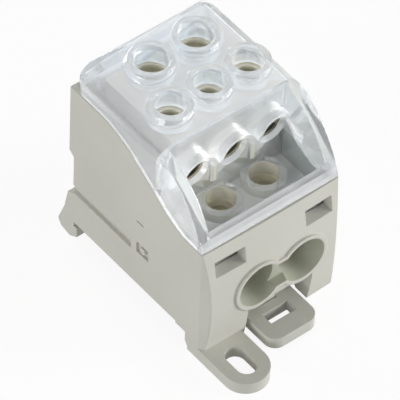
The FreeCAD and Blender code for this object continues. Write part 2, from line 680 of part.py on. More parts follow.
def cover_arches():
    """Three funnels through the step wall, each with a visor, and round posts between them."""
    tubes = []
    cuts = []
    depth = BLOCK_STEP_Y - BLOCK_GAP - STEP_WALL_Y
    side = RECESS_HALF + RECESS_SKIN
    for x in MIDDLE_XS:
        start = (x, STEP_WALL_Y, MIDDLE_BORE_Z)
        funnel = cone(ARCH_MOUTH + 2 * ARCH_WALL, MIDDLE_BORE + 2 * ARCH_WALL, depth, start, (0, 1, 0))
        tubes.append(funnel.common(box(-side, side, STEP_WALL_Y, BLOCK_STEP_Y, 0, COVER_TOP_Z)))
        visor = rod(ARCH_MOUTH + 2 * ARCH_WALL, ARCH_VISOR, start, (0, -1, 0))
        low = MIDDLE_BORE_Z - ARCH_MOUTH
        edge = MIDDLE_BORE_Z + ARCH_VISOR_DROP
        slant = Part.Face(
            Part.makePolygon(
                [
                    V(x - ARCH_MOUTH, STEP_WALL_Y, MIDDLE_BORE_Z - ARCH_VISOR_DROP),
                    V(x - ARCH_MOUTH, STEP_WALL_Y - 2 * ARCH_VISOR, edge + ARCH_VISOR_DROP),
                    V(x - ARCH_MOUTH, STEP_WALL_Y - 2 * ARCH_VISOR, low),
                    V(x - ARCH_MOUTH, STEP_WALL_Y, low),
                    V(x - ARCH_MOUTH, STEP_WALL_Y, MIDDLE_BORE_Z - ARCH_VISOR_DROP),
                ]
            )
        ).extrude(V(2 * ARCH_MOUTH, 0, 0))
        tubes.append(visor.cut(slant).common(box(-side, side, -HALF, STEP_WALL_Y, 0, COVER_TOP_Z)))
        cuts.append(cone(ARCH_MOUTH, MIDDLE_BORE + FUNNEL_THROAT, depth, start, (0, 1, 0)))
        cuts.append(rod(ARCH_MOUTH, ARCH_VISOR + OVERCUT, start, (0, -1, 0)))
    for left, right in zip(MIDDLE_XS[:-1], MIDDLE_XS[1:]):
        foot = ((left + right) / 2.0, STEP_WALL_Y, ARCH_POST_FOOT_Z)
        tubes.append(rod(ARCH_POST, ARCH_POST_TOP_Z - ARCH_POST_FOOT_Z, foot, (0, 0, 1)))
    return tubes, cuts


def cover_tongues():
    """Two snap tongues that hang behind the front wall, each with a catch in its window."""
    tongues = []
    front = FRONT_INNER_Y + SEAM_GAP
    for left, right in WINDOWS:
        a = left + TONGUE_SIDE_GAP
        b = right - TONGUE_SIDE_GAP
        low = WINDOW_BOTTOM_Z - TONGUE_DROP
        foot = WINDOW_BOTTOM_Z + CATCH_FOOT
        head = WINDOW_TOP_Z - CATCH_TOP_GAP
        tongues.append(box(a, b, front, front + TONGUE, low, RECESS_FLOOR_Z))
        catch_face = [
            V(a, front + OVERLAP, foot),
            V(a, front, foot),
            V(a, front - CATCH_DEPTH, head - CATCH_FACE),
            V(a, front - CATCH_DEPTH, head),
            V(a, front + OVERLAP, head),
        ]
        catch = Part.Face(Part.makePolygon(catch_face + catch_face[:1]))
        tongues.append(catch.extrude(V(b - a, 0, 0)))
    return tongues


def rear_lip():
    """Locating lip that stands inside the back wall of the housing."""
    back = BACK_Y - BACK_WALL - SEAM_GAP
    half = INNER_HALF - LIP_INSET
    front = back - COVER_WALL
    top = COVER_BACK_SHOULDER_Z - LIP_TOP_GAP
    lip = box(-half, half, front, back, BACK_TOP_Z - LIP_DROP, top)
    root = box(-half, half, front, BACK_Y - COVER_WALL / 2.0, BACK_TOP_Z + 2 * SEAM_GAP, top)
    return lip.fuse(root)


def make_cover():
    plan = rounded_plate(-HALF, HALF, -REACH, BACK_Y, 0.0, COVER_TOP_Z, COVER_CORNER_ROUND)
    hood = slab(cover_profile(), HALF).common(crown_form(0.0)).common(plan)
    hood = hood.cut(cover_hollow())
    skin = recess_skin().common(slab(under_cover_profile(), HALF))
    body = hood.fuse(skin)
    tubes, holes = cover_collars()
    arches, arch_cuts = cover_arches()
    body = body.cut(recess_air())
    body = body.fuse(tubes + arches + cover_tongues() + [rear_lip()])
    body = body.cut(holes + arch_cuts)
    return body.removeSplitter()


def screw_levels(bore_z, bore, length):
    """Top and tip height of a screw that is backed out clear of its bore."""
    tip = bore_z + bore / 2.0 + SCREW_BACK_OFF
    return tip + length, tip


def make_screw(x, y, diameter, socket, top, tip):
    """Set screw with a hexagon socket and a coned tip."""
    radius = diameter / 2.0 - SCREW_FIT
    shank = Part.makeCylinder(radius, top - tip - SCREW_TIP, V(x, y, tip + SCREW_TIP))
    point = Part.makeCone(radius - SCREW_TIP, radius, SCREW_TIP, V(x, y, tip))
    corner = socket / math.sqrt(3.0)
    turns = [math.radians(60 * i) for i in range(7)]
    corners = [V(x + corner * math.cos(t), y + corner * math.sin(t), top) for t in turns]
    hexagon = Part.Face(Part.makePolygon(corners)).extrude(V(0, 0, -socket * SOCKET_DEPTH_SHARE))
    return shank.fuse(point).cut(hexagon).removeSplitter()


def make_block():
    """Stepped conductor block: two front, three middle and two rear bores with tapped holes.

    Along each row from the left, every bore ends a little deeper than the one before it.
    """
    across = (BLOCK_LEFT, BLOCK_RIGHT)
    low = box(*across, BLOCK_FRONT_Y, BLOCK_BACK_Y, BLOCK_BOTTOM_Z, BLOCK_STEP_Z)
    high = box(*across, BLOCK_STEP_Y, BLOCK_BACK_Y, BLOCK_STEP_Z, BLOCK_TOP_Z)
    body = low.fuse(high).removeSplitter()
    long_edges = [
        e for e in body.Edges
        if abs(e.tangentAt(e.FirstParameter).z) > 0.9 and e.Length > BLOCK_CHAMFER
    ]
    body = body.makeChamfer(BLOCK_CHAMFER, long_edges)
    cuts = []
    rows = (
        (FRONT_XS, BLOCK_FRONT_Y, 1, FRONT_SCREW_Y, FRONT_BORE_Z, FRONT_BORE, LARGE_SCREW, BLOCK_STEP_Z),
        (MIDDLE_XS, BLOCK_STEP_Y, 1, MIDDLE_SCREW_Y, MIDDLE_BORE_Z, MIDDLE_BORE, SMALL_SCREW, BLOCK_TOP_Z),
        (REAR_XS, BLOCK_BACK_Y, -1, REAR_SCREW_Y, REAR_BORE_Z, REAR_BORE, LARGE_SCREW, BLOCK_TOP_Z),
    )
    for xs, face_y, inward, screw_y, bore_z, bore, screw, top_z in rows:
        depth = abs(screw_y - face_y) + screw / 2.0 + BORE_OVERRUN
        for place, x in enumerate(xs):
            deep = depth + place * BORE_DEPTH_STEP
            cuts.append(rod(bore, deep, (x, face_y, bore_z), (0, inward, 0)))
            cuts.append(rod(screw, top_z - bore_z, (x, screw_y, bore_z), (0, 0, 1)))
    return body.cut(cuts).removeSplitter()


def make_latch():
    """Sliding rail latch with a nose, side tongues, a spring window and a screwdriver slot."""
    low = LATCH_BOTTOM_Z
    high = low + LATCH_THICKNESS
    half = LATCH_WIDTH / 2.0
    nose_y = RAIL_FRONT_Y + LATCH_GRIP
    plate = rounded_plate(
        LATCH_X - half, LATCH_X + half, LATCH_FRONT_Y, RAIL_FRONT_Y, low, high, LATCH_CORNER
    )
    back = box(LATCH_X - half, LATCH_X + half, SPRING_FRONT_Y, RAIL_FRONT_Y, low, high)
    nose = Part.Face(
        Part.makePolygon(
            [
                V(0, RAIL_FRONT_Y, low),
                V(0, nose_y, high - LATCH_NOSE),
                V(0, nose_y, high - LATCH_FIT),
                V(0, RAIL_FRONT_Y, high),
                V(0, RAIL_FRONT_Y, low),
            ]
        )
    )
    nose.translate(V(LATCH_X - half + LATCH_NOSE_INSET, 0, 0))
    nose = nose.extrude(V(LATCH_WIDTH - 2 * LATCH_NOSE_INSET, 0, 0))
    middle_z = (low + high) / 2.0
    reach = LATCH_TONGUE_HEIGHT / 2.0
    wide = half + LATCH_TONGUE
    tongue_front = RAIL_FRONT_Y - LATCH_FIT - GUIDE_LENGTH
    tongue_back = RAIL_FRONT_Y - LATCH_FIT
    across = (LATCH_X - wide, LATCH_X + wide)
    tongues = box(*across, tongue_front, tongue_back, middle_z - reach, middle_z + reach)
    body = plate.fuse([back, nose, tongues])
    slot_front = LATCH_FRONT_Y + LATCH_SLOT_FRONT
    through = (low - OVERCUT, high + OVERCUT)
    across = (LATCH_X - LATCH_SLOT[0] / 2.0, LATCH_X + LATCH_SLOT[0] / 2.0)
    slot = box(*across, slot_front, slot_front + LATCH_SLOT[1], *through)
    across = (LATCH_X - SPRING_WINDOW / 2.0, LATCH_X + SPRING_WINDOW / 2.0)
    window_front = SPRING_FRONT_Y - SPRING_STOP - LATCH_FIT
    window = box(*across, window_front, SPRING_BACK_Y, *through)
    return body.cut([slot, window]).removeSplitter()


def make_spring():
    """Folded strip spring that pushes the latch under the rail."""
    start = SPRING_FRONT_Y + SPRING_SEAT + SPRING_STRIP / 2.0
    pitch = (SPRING_LENGTH - 2 * SPRING_SEAT - SPRING_STRIP) / SPRING_FOLDS
    half = (SPRING_OUTER - pitch - SPRING_STRIP) / 2.0
    low = LATCH_BOTTOM_Z + (LATCH_THICKNESS - SPRING_HEIGHT) / 2.0
    thick = SPRING_STRIP / 2.0
    pieces = []
    for leg in range(SPRING_FOLDS + 1):
        y = start + leg * pitch
        across = (LATCH_X - half, LATCH_X + half)
        pieces.append(box(*across, y - thick, y + thick, low, low + SPRING_HEIGHT))
    for fold in range(SPRING_FOLDS):
        side = 1 if fold % 2 == 0 else -1
        x = LATCH_X + side * half
        centre = (x, start + (fold + 0.5) * pitch, low)
        ring = rod(pitch + SPRING_STRIP, SPRING_HEIGHT, centre, (0, 0, 1))
        ring = ring.cut(rod(pitch - SPRING_STRIP, SPRING_HEIGHT, centre, (0, 0, 1)))
        a, b = sorted((x, x + side * pitch))
        outer = box(a, b, centre[1] - pitch, centre[1] + pitch, low, low + SPRING_HEIGHT)
        pieces.append(ring.common(outer))
    return pieces[0].fuse(pieces[1:]).removeSplitter()


def save(name, shape):
    shape.exportStep("parts/" + name + ".step")


os.makedirs("parts", exist_ok=True)
save("housing", make_housing())
save("cover", make_cover())
save("conductor_block", make_block())
save("rail_latch", make_latch())
save("latch_spring", make_spring())

# The three rows of clamping screws
large = (LARGE_SCREW, LARGE_SOCKET)
small = (SMALL_SCREW, SMALL_SOCKET)
front_levels = screw_levels(FRONT_BORE_Z, FRONT_BORE, LARGE_SCREW_LENGTH)
for side, x in zip(("left", "right"), FRONT_XS):
    save("front_screw_" + side, make_screw(x, FRONT_SCREW_Y, *large, *front_levels))

middle_levels = screw_levels(MIDDLE_BORE_Z, MIDDLE_BORE, SMALL_SCREW_LENGTH)
for side, x in zip(("left", "centre", "right"), MIDDLE_XS):
    save("middle_screw_" + side, make_screw(x, MIDDLE_SCREW_Y, *small, *middle_levels))

rear_levels = screw_levels(REAR_BORE_Z, REAR_BORE, LARGE_SCREW_LENGTH)
for side, x in zip(("left", "right"), REAR_XS):
    save("rear_screw_" + side, make_screw(x, REAR_SCREW_Y, *large, *rear_levels))
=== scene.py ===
import json
import math
import bmesh
import bpy
from mathutils import Matrix, Vector


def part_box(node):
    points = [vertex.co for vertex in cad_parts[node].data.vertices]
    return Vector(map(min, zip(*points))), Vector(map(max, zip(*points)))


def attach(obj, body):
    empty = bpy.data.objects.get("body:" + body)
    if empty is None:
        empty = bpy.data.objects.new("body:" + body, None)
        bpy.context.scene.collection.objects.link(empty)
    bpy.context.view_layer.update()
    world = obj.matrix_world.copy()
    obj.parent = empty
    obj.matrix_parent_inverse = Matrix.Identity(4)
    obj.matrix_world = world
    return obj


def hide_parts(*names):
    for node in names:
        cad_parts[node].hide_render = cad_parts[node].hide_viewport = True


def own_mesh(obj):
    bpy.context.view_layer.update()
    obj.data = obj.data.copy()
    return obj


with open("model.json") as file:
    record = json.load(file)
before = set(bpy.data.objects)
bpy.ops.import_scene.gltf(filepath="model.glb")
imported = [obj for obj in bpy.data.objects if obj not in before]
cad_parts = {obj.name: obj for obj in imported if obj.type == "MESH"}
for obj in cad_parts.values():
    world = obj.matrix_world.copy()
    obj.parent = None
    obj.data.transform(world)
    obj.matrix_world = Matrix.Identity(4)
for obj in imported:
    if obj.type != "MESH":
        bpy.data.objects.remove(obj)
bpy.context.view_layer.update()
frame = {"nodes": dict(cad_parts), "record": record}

# View, light and ground
# The block stands on a plain white sheet and is seen from high over its left front corner with a
# long lens. A wide soft lamp stands off its right front corner, a weaker one fills in from the
# left, a third lights it from behind, and the room round it is pale.
turn = math.radians(40.87)
rise = math.radians(47.97)
roll = math.radians(2.74)
distance = 1.1296
block_middle = Vector((0, 0.0011, 0.025))
# the picture's centre lies a little beside and under the middle of the block
beside_middle = 0.0004
under_middle = 0.00418
across = Vector((math.cos(turn), -math.sin(turn), 0))
upward = Vector((math.sin(turn) * math.sin(rise), math.cos(turn) * math.sin(rise),
                 math.cos(rise)))
outward = across.cross(upward)
right = math.cos(roll) * across + math.sin(roll) * upward
up = math.cos(roll) * upward - math.sin(roll) * across
aim = block_middle + beside_middle * across - under_middle * upward
eye = aim + distance * outward

camera_data = bpy.data.cameras.new("long_lens")
camera_data.sensor_width = 36.0
camera_data.lens = 440.5
camera_data.clip_end = 20.0
camera = bpy.data.objects.new("long_lens", camera_data)
camera.matrix_world = Matrix(((right.x, up.x, outward.x, eye.x),
                              (right.y, up.y, outward.y, eye.y),
                              (right.z, up.z, outward.z, eye.z),
                              (0, 0, 0, 1)))
bpy.context.scene.collection.objects.link(camera)
bpy.context.scene.camera = camera
bpy.context.scene.view_settings.view_transform = "Standard"


def lamp(name, place, size, watts):
    """Sets up a round soft lamp, its place and width in metres, and turns it to the block."""
    data = bpy.data.lights.new(name, "AREA")
    data.shape = "DISK"
    data.size = size
    data.energy = watts
    light = bpy.data.objects.new(name, data)
    light.location = place
    inward = lamp_aim - Vector(place)
    light.rotation_euler = inward.to_track_quat("-Z", "Y").to_euler()
    bpy.context.scene.collection.objects.link(light)


lamp_aim = Vector((0, 0, 0.03))
lamp("soft_box", (0.88, -0.72, 0.15), 0.7, 12.2)
lamp("fill", (-0.9, -0.1, 0.12), 0.6, 4.2)
lamp("back", (0.15, 1.1, 0.12), 0.6, 3.5)


def linear(hex_colour):
    """sRGB hex to the linear colour that a shader takes."""
    parts = [int(hex_colour[i:i + 2], 16) / 255 for i in (1, 3, 5)]
    bright = [c / 12.92 if c <= 0.04045 else ((c + 0.055) / 1.055) ** 2.4 for c in parts]
    return (*bright, 1.0)


def add_node(tree, kind, settings=None, values=None, links=None):
    """Adds a node. settings are its properties, values go on its sockets, links feed them."""
    node = tree.nodes.new(kind)
    for name, value in (settings or {}).items():
        setattr(node, name, value)
    for socket, value in (values or {}).items():
        node.inputs[socket].default_value = value
    for socket, source in (links or {}).items():
        tree.links.new(source, node.inputs[socket])
    return node


def shown_to_the_eye(tree):
    """1 for a ray from the camera, straight, by a mirror or through a clear wall, and else 0."""
    ray = add_node(tree, "ShaderNodeLightPath")
    shown = ray.outputs["Is Camera Ray"]
    for way in ("Is Glossy Ray", "Is Transmission Ray"):
        shown = add_node(tree, "ShaderNodeMath", {"operation": "MAXIMUM"}, None,
                         {0: shown, 1: ray.outputs[way]}).outputs[0]
    return shown


# the room looks white and lights the block with about a third of that
room_light = 0.32
world = bpy.data.worlds.new("pale_room")
bpy.context.scene.world = world
world.use_nodes = True
tree = world.node_tree
tree.nodes.clear()
strength = add_node(tree, "ShaderNodeMapRange", None, {"To Min": room_light, "To Max": 1.0},
                    {"Value": shown_to_the_eye(tree)})
sky = add_node(tree, "ShaderNodeBackground", None, {"Color": linear("#FFFFFF")},
               {"Strength": strength.outputs["Result"]})
add_node(tree, "ShaderNodeOutputWorld", None, None, {"Surface": sky.outputs[0]})


def new_material(name):
    """An empty material and its node tree."""
    material = bpy.data.materials.new(name)
    material.use_nodes = True
    material.node_tree.nodes.clear()
    return material, material.node_tree


# matt white paper: it keeps the block's soft shadow and runs into the white room behind
paper_glow = 1.12
glow_share = 0.8
sheet, tree = new_material("white paper sheet")
paper = add_node(tree, "ShaderNodeBsdfDiffuse", None, {"Color": linear("#DDDDDD")})
glow = add_node(tree, "ShaderNodeEmission", None,
                {"Color": linear("#FFFFFF"), "Strength": paper_glow})
share = add_node(tree, "ShaderNodeMath", {"operation": "MULTIPLY"}, {1: glow_share},
                 {0: shown_to_the_eye(tree)})
mix = add_node(tree, "ShaderNodeMixShader", None, None,
               {0: share.outputs[0], 1: paper.outputs[0], 2: glow.outputs[0]})
add_node(tree, "ShaderNodeOutputMaterial", None, None, {"Surface": mix.outputs[0]})

# the sheet lies a hair under the lugs, so that their undersides don't flicker
sheet_gap = 0.00002
half_sheet = 2.0
corners = [(-half_sheet, -half_sheet, 0), (half_sheet, -half_sheet, 0),
           (half_sheet, half_sheet, 0), (-half_sheet, half_sheet, 0)]
floor_mesh = bpy.data.meshes.new("white_sheet")
floor_mesh.from_pydata(corners, [], [(0, 1, 2, 3)])
floor_mesh.materials.append(sheet)
floor = bpy.data.objects.new("white_sheet", floor_mesh)
floor.location = (0, 0, -sheet_gap)
bpy.context.scene.collection.objects.link(floor)


# Housing
# One moulding of glass-filled polyamide in warm light grey, with the rail foot, the conductor
# funnels and the lugs. Spark-eroded mould faces leave it evenly matt, and its edges are softened.
# Pattern sizes and the limits of regions are in mm from here on.
metre = 1000


def moulded_polyamide(name, colour_hex, dark_hex):
    """Warm grey and evenly matt, with a faint cloudiness and a grain that kills hard glints."""
    material, tree = new_material(name)
    place = add_node(tree, "ShaderNodeTexCoord").outputs["Object"]
    # flow of the melt, drawn as cloudy patches about 25 mm across
    clouds = add_node(tree, "ShaderNodeTexNoise", None,
                      {"Scale": metre / 25, "Detail": 3.0, "Roughness": 0.5},
                      {"Vector": place})
    # eroded grain is near 0.05 mm; drawn 0.35 mm wide so that it shows
    grain = add_node(tree, "ShaderNodeTexNoise", None,
                     {"Scale": metre / 0.35, "Detail": 2.0, "Roughness": 0.6},
                     {"Vector": place})
    cloudiness = add_node(tree, "ShaderNodeMapRange", None, {"From Min": 0.3, "From Max": 0.6},
                          {"Value": clouds.outputs["Fac"]})
    tint = add_node(tree, "ShaderNodeMix", {"data_type": "RGBA"},
                    {"A": linear(dark_hex), "B": linear(colour_hex)},
                    {"Factor": cloudiness.outputs["Result"]})
    # each grain is up to 3% darker or 2% lighter than the patch it lies in
    speck = add_node(tree, "ShaderNodeMapRange", None,
                     {"From Min": 0.3, "From Max": 0.7, "To Min": 0.97, "To Max": 1.02},
                     {"Value": grain.outputs["Fac"]})
    colour = add_node(tree, "ShaderNodeVectorMath", {"operation": "SCALE"}, None,
                      {0: tint.outputs["Result"], "Scale": speck.outputs["Result"]})
    # moulding leaves the edges rounded by 0.35 mm, and the grain is under 0.01 mm deep
    softened = add_node(tree, "ShaderNodeBevel", {"samples": 6}, {"Radius": 0.35 / metre})
    bump = add_node(tree, "ShaderNodeBump", None, {"Strength": 0.12, "Distance": 0.06 / metre},
                    {"Height": grain.outputs["Fac"], "Normal": softened.outputs[0]})
    rough = add_node(tree, "ShaderNodeMapRange", None, {"To Min": 0.46, "To Max": 0.62},
                     {"Value": clouds.outputs["Fac"]})
    shader = add_node(tree, "ShaderNodeBsdfPrincipled", None,
                      {"IOR": 1.53, "Specular IOR Level": 0.3},
                      {"Base Color": colour.outputs[0], "Roughness": rough.outputs["Result"],
                       "Normal": bump.outputs[0]})
    add_node(tree, "ShaderNodeOutputMaterial", None, None, {"Surface": shader.outputs[0]})
    return material


nodes = frame["nodes"]


def dress(node, material, *regions):
    """Gives a node its material, and to each region, a pair of material and test, its faces."""
    mesh = nodes[node].data
    tests = [test for _, test in regions]
    mesh.materials.clear()
    for each in [material] + [finish for finish, _ in regions]:
        mesh.materials.append(each)
    for face in mesh.polygons:
        passed = [test(face.center * metre) for test in tests]
        face.material_index = passed.index(True) + 1 if any(passed) else 0


mounts = {mount["name"]: mount for mount in frame["record"]["mounts"]}


def bore_mouths(row, *sides):
    """Middles of the mouths of the conductor bores in a row, in mm."""
    return [Vector(mounts[f"{row}_bore_{side}"]["pos_m"]) * metre for side in sides]


front_bores = bore_mouths("front", "left", "right")
# the raised rim round the funnels' mouths, their walls, and the waist where the two run together
funnel_rim_y = -27.25
rim_round = 0.2
funnel_radius = 6.3
waist_half_height = 3.8


def in_a_front_funnel(middle):
    """True on the walls of the two front funnels, behind their raised rim."""
    left, right = front_bores
    off = min(math.hypot(middle.x - bore.x, middle.z - bore.z) for bore in front_bores)
    in_the_waist = left.x < middle.x < right.x and abs(middle.z - left.z) < waist_half_height
    behind_the_rim = funnel_rim_y + rim_round < middle.y < left.y
    return behind_the_rim and (off < funnel_radius or in_the_waist)


# a light warm grey all over
housing_grey = moulded_polyamide("moulded polyamide, warm light grey", "#D9D8CF", "#D3D2C8")
# little light falls deep into the funnels, and they look darker and a little greener
funnel_grey = moulded_polyamide("moulded polyamide, deep in the funnels", "#BEC0AF", "#B4B6A5")
dress("housing", housing_grey, (funnel_grey, in_a_front_funnel))


# Rail latch
# A sliding tongue of the same polyamide, moulded flat, with a slot for the screwdriver blade. It
# runs in guides under the front wall of the housing, and its nose holds the rail.
# From a batch of its own: a shade darker than the housing.
latch_grey = moulded_polyamide("moulded polyamide, latch grey", "#D2D2C9", "#CBCBC2")
dress("rail_latch", latch_grey)


# Clear cover
# Injection-moulded polycarbonate, polished by its mould, clear with a cold cast at the thick
# edges. It snaps into the housing and carries the guide collars for the hexagon key.
def polycarbonate(name, colour_hex, transmission, roughness=0.05, wave=0.3):
    """Clear and very glossy: bright edges and glints, with the block showing softly behind."""
    material, tree = new_material(name)
    place = add_node(tree, "ShaderNodeTexCoord").outputs["Object"]
    # slow waves of shrinkage over the moulded walls, about 9 mm apart and under 0.1 mm deep
    waves = add_node(tree, "ShaderNodeTexNoise", None,
                     {"Scale": metre / 9, "Detail": 1.0, "Roughness": 0.4}, {"Vector": place})
    softened = add_node(tree, "ShaderNodeBevel", {"samples": 6}, {"Radius": 0.3 / metre})
    bump = add_node(tree, "ShaderNodeBump", None, {"Strength": wave, "Distance": 0.3 / metre},
                    {"Height": waves.outputs["Fac"], "Normal": softened.outputs[0]})
    # a strong coat stands for the many mirrorings between the thin walls
    shader = add_node(tree, "ShaderNodeBsdfPrincipled", None,
                      {"Base Color": linear(colour_hex), "Transmission Weight": transmission,
                       "Roughness": roughness, "IOR": 1.5, "Coat Weight": 1.0,
                       "Coat Roughness": 0.03, "Coat IOR": 2.1},
                      {"Normal": bump.outputs[0], "Coat Normal": bump.outputs[0]})
    # lamps shine through to what lies under the cover
    ray = add_node(tree, "ShaderNodeLightPath")
    passing = add_node(tree, "ShaderNodeBsdfTransparent", None, {"Color": linear(colour_hex)})
    mix = add_node(tree, "ShaderNodeMixShader", None, None,
                   {0: ray.outputs["Is Shadow Ray"], 1: shader.outputs[0],
                    2: passing.outputs[0]})
    add_node(tree, "ShaderNodeOutputMaterial", None, None, {"Surface": mix.outputs[0]})
    return material


arches = bore_mouths("middle", "left", "centre", "right")
step_face_y = arches[0].y - mounts["middle_bore_left"]["dims"]["length_mm"] / 2
screw_boxes = {name: [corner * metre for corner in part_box(name)]
               for name in nodes if "_screw_" in name}
front_screws = [screw_boxes["front_screw_left"], screw_boxes["front_screw_right"]]
# where the finish of the moulding changes; visors are measured out from the step wall
visor_radius = 5.7
visor_front = 4.2
visor_back = 0.2
collar_bore = 3.72
step_wall_y = -7.7
step_wall_z = 48.0
plateau_half_width = 17.5
recess_half_width = 17.6
recess_floor_z = 31.3
front_wall_y = -19.0
front_wall_z = 39.0
right_wall_x = (16.5, 17.5)
right_wall_z = 33.0


def off_axis(middle, box):
    """Distance in mm from a point to the upright axis in the middle of a box."""
    low, high = box
    return math.hypot(middle.x - (low.x + high.x) / 2, middle.y - (low.y + high.y) / 2)


def on_an_arch(middle):
    """True on the three half-round visors and their funnels, in front of the step wall."""
    near = min(math.hypot(middle.x - arch.x, middle.z - arch.z) for arch in arches)
    return (step_face_y - visor_front < middle.y < step_face_y - visor_back
            and near < visor_radius)


def in_a_front_collar(middle):
    """True on the bore walls of the two front collars, over the screws of the front bores."""
    return min(off_axis(middle, box) for box in front_screws) < collar_bore


def on_the_plateau(middle):
    """True on the top wall and the step wall under it, which meet in a broad round."""
    return (middle.y > step_wall_y and middle.z > step_wall_z
            and abs(middle.x) < plateau_half_width)


def on_the_recess_floor(middle):
    """True on the floor and front wall of the recess, clear of its two collars."""
    low = middle.z < recess_floor_z or (middle.z < front_wall_z and middle.y < front_wall_y)
    return low and middle.y < step_face_y and abs(middle.x) < recess_half_width


def on_the_right_recess_wall(middle):
    """True on the upright wall at the right of the recess."""
    return (middle.y < step_face_y and right_wall_x[0] < middle.x < right_wall_x[1]
            and middle.z > right_wall_z)


# the outer walls, through which the housing and the white sheet show
clear = polycarbonate("clear polycarbonate", "#F8FBFD", 0.86)
# the top scatters some of the light, so the block under it looks veiled
hazy = polycarbonate("clear polycarbonate, faint haze", "#F9FCFF", 0.71)
# the floor of the recess hides much of the metal step under it
lighter = polycarbonate("clear polycarbonate of the recess", "#F6F8F9", 0.56)
# painted shade: the right wall of the recess, seen along its length, is tinted grey and cold for
# its shadow
painted_shade_wall = polycarbonate("clear polycarbonate, painted shade", "#C8CED0", 0.85)
# the visors look milky white, with bright glints on their rounds
frosted = polycarbonate("frosted polycarbonate", "#FFFFFF", 0.55, roughness=0.04, wave=0.1)
# painted reflection: the walls of the front collars are tinted with the warm colour of the metal
# under them
painted_reflection = polycarbonate("polycarbonate, painted reflection of the plating", "#FBF6E6", 0.3,
                          roughness=0.12, wave=0.1)
dress("cover", clear, (frosted, on_an_arch), (painted_reflection, in_a_front_collar),
      (hazy, on_the_plateau), (painted_shade_wall, on_the_right_recess_wall),
      (lighter, on_the_recess_floor))


# Conductor block
# Extruded aluminium in two storeys, drilled and tapped, then tin plated to a dull warm silver. It
# sits in the housing and is seen through the cover, the arches and the funnels.
def plated_metal(name, light_hex, dark_hex, smooth, dull, metallic=1.0, turns_apart=None):
    """Warm silver with soft, blotchy reflections and faint lines; turns_apart is in mm."""
    material, tree = new_material(name)
    place = add_node(tree, "ShaderNodeTexCoord").outputs["Object"]
    # the plating takes the faint lines of the extrusion along X, 17 mm long and 0.4 mm apart
    stretched = add_node(tree, "ShaderNodeMapping", None,
                         {"Scale": (metre / 16.67, metre / 0.4, metre / 0.4)},
                         {"Vector": place})
    lines = add_node(tree, "ShaderNodeTexNoise", None, {"Scale": 1.0, "Detail": 2.0},
                     {"Vector": stretched.outputs[0]})
    # blotches of the plating bath, about 6 mm across
    blotches = add_node(tree, "ShaderNodeTexNoise", None, {"Scale": metre / 6, "Detail": 3.0},
                        {"Vector": place})
    tint = add_node(tree, "ShaderNodeMix", {"data_type": "RGBA"},
                    {"A": linear(light_hex), "B": linear(dark_hex)},
                    {"Factor": blotches.outputs["Fac"]})
    rough = add_node(tree, "ShaderNodeMapRange", None, {"To Min": smooth, "To Max": dull},
                     {"Value": blotches.outputs["Fac"]})
    bump = add_node(tree, "ShaderNodeBump", None, {"Strength": 0.2, "Distance": 0.04 / metre},
                    {"Height": lines.outputs["Fac"]})
    if turns_apart:
        # bands of a wave node repeat every 2 pi / 20 at scale 1
        turns = add_node(tree, "ShaderNodeTexWave", {"bands_direction": "Z"},
                         {"Scale": 2 * math.pi / 20 * metre / turns_apart, "Distortion": 0.0},
                         {"Vector": place})
        bump = add_node(tree, "ShaderNodeBump", None,
                        {"Strength": 0.6, "Distance": 0.3 / metre},
                        {"Height": turns.outputs["Fac"], "Normal": bump.outputs[0]})
    shader = add_node(tree, "ShaderNodeBsdfPrincipled", None, {"Metallic": metallic},
                      {"Base Color": tint.outputs["Result"],
                       "Roughness": rough.outputs["Result"], "Normal": bump.outputs[0]})
    add_node(tree, "ShaderNodeOutputMaterial", None, None, {"Surface": shader.outputs[0]})
    return material


block_low, block_high = [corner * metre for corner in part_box("conductor_block")]
upper_screws = [box for name, box in screw_boxes.items() if not name.startswith("front")]
# the top of the front storey, and how near a face lies to count as an outer one
step_z = 29.4
step_skin = 0.05
skin = 0.1
side_wall = 0.9
# how far a tapped wall stands off its screw
thread_room = 0.15


def round_a_screw(middle, boxes):
    """True on the tapped walls round some clamping screws, above the lower ends of these."""
    return any(off_axis(middle, (low, high)) < (high.x - low.x) / 2 + thread_room
               and middle.z > low.z for low, high in boxes)


def in_an_upper_tapped_hole(middle):
    """True on the walls round the five clamping screws of the upper storey."""
    return round_a_screw(middle, upper_screws)


def in_a_front_tapped_hole(middle):
    """True on the walls round the two clamping screws of the front storey."""
    return round_a_screw(middle, front_screws)


def in_a_bore(middle):
    """True on the walls of the conductor bores, off the block's outer faces and its step."""
    inside = min(middle.x - block_low.x, block_high.x - middle.x) > side_wall
    on_the_step = (abs(middle.z - step_z) < step_skin
                   or (abs(middle.y - step_face_y) < skin and middle.z > step_z - skin))
    outer = (middle.y < block_low.y + skin or middle.y > block_high.y - skin
             or middle.z < block_low.z + skin or middle.z > block_high.z - skin)
    return inside and not outer and not on_the_step


# warm silver on the outer faces
tin = plated_metal("tin-plated aluminium", "#E9E2D2", "#D9D0BC", 0.3, 0.46)
# painted shade: the bores are painted a darker olive grey for the shade in them, on a yellowish
# plate
drilled = plated_metal("drilled bore, yellowish plate and painted shade", "#B4B693", "#8C8F70", 0.22, 0.36,
                       metallic=0.9)
# threads scatter the light; turns of 1 and 1.25 mm are drawn 2.5 mm apart so that they show
tapped = plated_metal("tapped hole, dull plate", "#DDD7C2", "#CAC4AE", 0.4, 0.55,
                      metallic=0.5, turns_apart=2.5)
# painted light: the two front holes lie open to the lamp, and are painted creamy and near white
# for it
painted_light_plate = plated_metal("tapped hole, painted light", "#FFFAEB", "#F4EEDC", 0.4, 0.55,
                   metallic=0.1, turns_apart=2.5)
dress("conductor_block", tin, (tapped, in_an_upper_tapped_hole), (painted_light_plate, in_a_front_tapped_hole),
      (drilled, in_a_bore))


